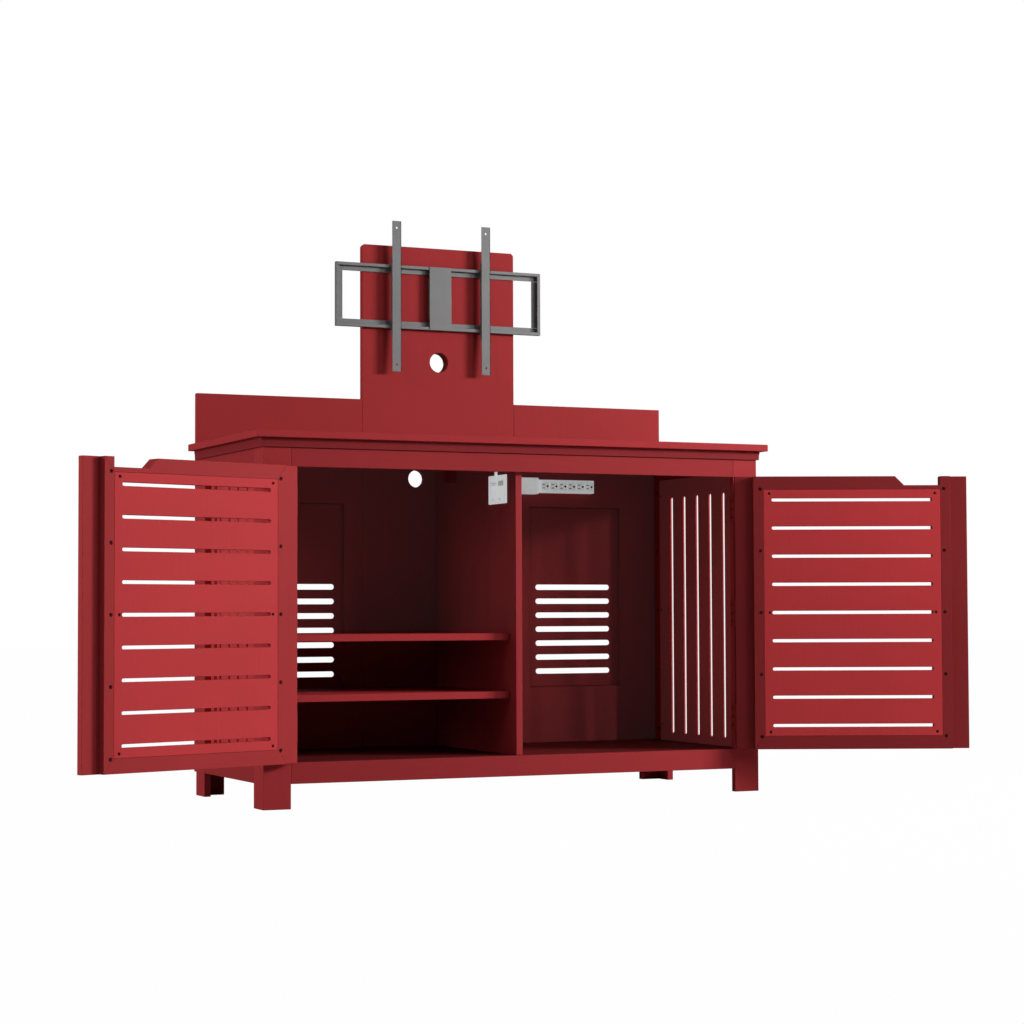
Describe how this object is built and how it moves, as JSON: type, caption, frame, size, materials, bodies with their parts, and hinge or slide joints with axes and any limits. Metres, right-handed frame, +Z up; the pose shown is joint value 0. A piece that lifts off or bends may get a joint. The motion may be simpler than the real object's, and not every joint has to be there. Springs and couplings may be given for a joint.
{
  "type": "outdoor entertainment center",
  "caption": "Red board-built outdoor cabinet with slotted doors held open, inner shelves, a power strip, a worktop and a tall back board that carries a grey steel screen mount.",
  "frame": {"origin": "The middle of the footprint of the whole part with both doors open as they rest, on the ground.", "axes": "+X runs to the right as seen from the front, along the worktop's length. +Y runs from the front to the back splash. +Z is up."},
  "size_m": [2.5344, 0.9102, 1.648],
  "materials": {
    "panel_board": "dyed board with a fine brushed grain, satin",
    "frame_board": "dyed board with a fine brushed grain, satin, slightly darker",
    "mount_steel": "powder coat, satin grey",
    "dark_screw": "blackened",
    "hinge_paint": "painted dark red, satin",
    "strip_case": "light grey enamel",
    "strip_socket": "moulded, matt",
    "box_case": "moulded, off white",
    "pin_steel": "brushed"
  },
  "bodies": {
    "cabinet": {"front_left_leg_face": "frame_board", "front_left_leg_side": "frame_board", "front_right_leg_face": "frame_board", "front_right_leg_side": "frame_board", "rear_left_leg_side": "frame_board", "rear_right_leg_side": "frame_board", "rear_leg_faces": "frame_board", "front_top_rail": "frame_board", "front_bottom_rail": "frame_board", "rear_rails": "frame_board", "side_top_rails": "frame_board", "side_bottom_rails": "frame_board", "left_side_panel": "panel_board", "right_side_panel": "panel_board", "side_battens": "frame_board", "floor_board": "panel_board", "divider": "frame_board", "worktop_cleats": "frame_board", "upper_shelf": "panel_board", "lower_shelf": "panel_board", "shelf_pins": "pin_steel", "worktop": "panel_board", "front_moulding": "frame_board", "side_mouldings": "frame_board", "left_back_board": "panel_board", "right_back_board": "panel_board", "screen_board": "panel_board", "screen_board_stiffener": "frame_board", "left_hatch": "panel_board", "right_hatch": "panel_board", "hatch_battens": "frame_board", "cabinet_screws": "dark_screw", "mount_bracket": "mount_steel", "mount_plate": "mount_steel", "mount_top_rail": "mount_steel", "mount_bottom_rail": "mount_steel", "mount_ends": "mount_steel", "mount_bolts": "mount_steel", "power_strip_case": "strip_case", "power_strip_sockets": "strip_socket", "control_box": "box_case", "control_box_tab": "box_case", "leg_hinge_leaves": "hinge_paint", "hinge_pins": "hinge_paint"},
    "left_door": {"left_door_stiles": "frame_board", "left_door_rails": "frame_board", "left_door_border": "frame_board", "left_door_panel": "panel_board", "left_door_screws": "dark_screw", "left_door_hinge_leaves": "hinge_paint"},
    "right_door": {"right_door_stiles": "frame_board", "right_door_rails": "frame_board", "right_door_border": "frame_board", "right_door_panel": "panel_board", "right_door_screws": "dark_screw", "right_door_hinge_leaves": "hinge_paint"},
    "left_arm": {"left_arm": "mount_steel", "left_arm_bolts": "mount_steel"},
    "right_arm": {"right_arm": "mount_steel", "right_arm_bolts": "mount_steel"}
  },
  "joints": [
    {"name": "left_door_hinge", "type": "hinge", "parent": "cabinet", "child": "left_door", "pos_m": [-0.64733, -0.16688, 0.5035], "axis": [0, 0, 1], "range_deg": [-17, 161]},
    {"name": "right_door_hinge", "type": "hinge", "parent": "cabinet", "child": "right_door", "pos_m": [0.66867, -0.16688, 0.5035], "axis": [0, 0, 1], "range_deg": [-156, 22]},
    {"name": "left_arm_slide", "type": "slide", "parent": "cabinet", "child": "left_arm", "axis": [1, 0, 0], "range_m": [-0.135, 0.085]},
    {"name": "right_arm_slide", "type": "slide", "parent": "cabinet", "child": "right_arm", "axis": [1, 0, 0], "range_m": [-0.085, 0.135]}
  ]
}
